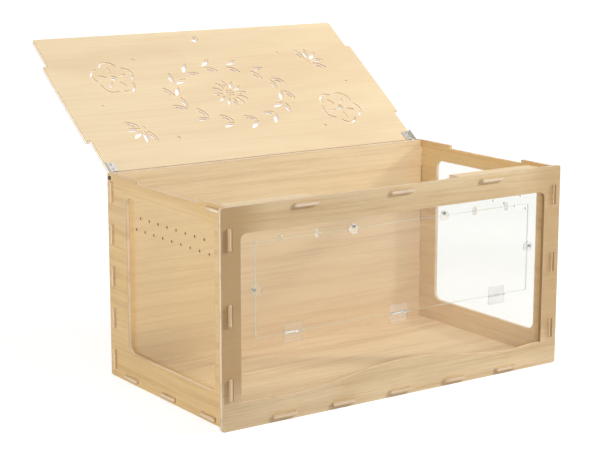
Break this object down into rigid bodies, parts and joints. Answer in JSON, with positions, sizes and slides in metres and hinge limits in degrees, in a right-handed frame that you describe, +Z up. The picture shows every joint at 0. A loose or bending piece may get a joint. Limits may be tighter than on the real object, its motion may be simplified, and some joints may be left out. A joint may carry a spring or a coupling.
{
  "type": "hamster cage",
  "caption": "Long plywood hamster cage with clear panes, a drop-down front door with magnetic catches and a lift-up ornamented lid.",
  "frame": {"origin": "middle of the front panel's bottom edge, halfway through its thickness", "axes": "+X along the cage to the right, +Y from the front panel to the back panel, +Z up"},
  "size_m": [1, 0.9722, 0.7992],
  "materials": {
    "plywood": "sanded birch plywood",
    "clear_acrylic": "clear polished acrylic",
    "clear_plastic": "clear moulded plastic",
    "plated_steel": "zinc plated",
    "dark_steel": "black oxide"
  },
  "bodies": {
    "cage": {"front_panel": "plywood", "left_side_panel": "plywood", "right_side_panel": "plywood", "back_panel": "plywood", "floor_panel": "plywood", "top_rail": "plywood", "front_pane": "clear_acrylic", "left_pane": "clear_acrylic", "right_pane": "clear_acrylic", "door_hinge_pane_leaf_1": "clear_plastic", "door_hinge_pane_leaf_2": "clear_plastic", "door_hinge_pane_leaf_3": "clear_plastic", "door_hinge_pin_1": "plated_steel", "door_hinge_pin_2": "plated_steel", "door_hinge_pin_3": "plated_steel", "pane_magnets": "plated_steel", "door_stop_1": "clear_plastic", "door_stop_2": "clear_plastic", "door_stop_3": "clear_plastic", "door_stop_4": "clear_plastic", "pivot_bolt_left": "dark_steel", "pivot_bolt_right": "dark_steel", "pivot_washer_left": "plated_steel", "pivot_washer_right": "plated_steel", "pivot_nut_left": "plated_steel", "pivot_nut_right": "plated_steel"},
    "lid": {"lid_panel": "plywood", "lid_bracket_left": "plated_steel", "lid_bracket_right": "plated_steel", "lid_screws_left": "plated_steel", "lid_screws_right": "plated_steel"},
    "door": {"door_pane": "clear_acrylic", "door_hinge_door_leaf_1": "clear_plastic", "door_hinge_door_leaf_2": "clear_plastic", "door_hinge_door_leaf_3": "clear_plastic", "door_disc_left": "clear_plastic", "door_disc_right": "clear_plastic", "door_disc_top_left": "clear_plastic", "door_disc_top_right": "clear_plastic", "door_magnets": "plated_steel"}
  },
  "joints": [
    {"name": "lid_hinge", "type": "hinge", "parent": "cage", "child": "lid", "pos_m": [0, 0.5305, 0.4985], "axis": [1, 0, 0], "range_deg": [0, 144.5]},
    {"name": "door_hinge", "type": "hinge", "parent": "cage", "child": "door", "pos_m": [0, 0.0016, 0.2024], "axis": [1, 0, 0], "range_deg": [0, 150]}
  ]
}
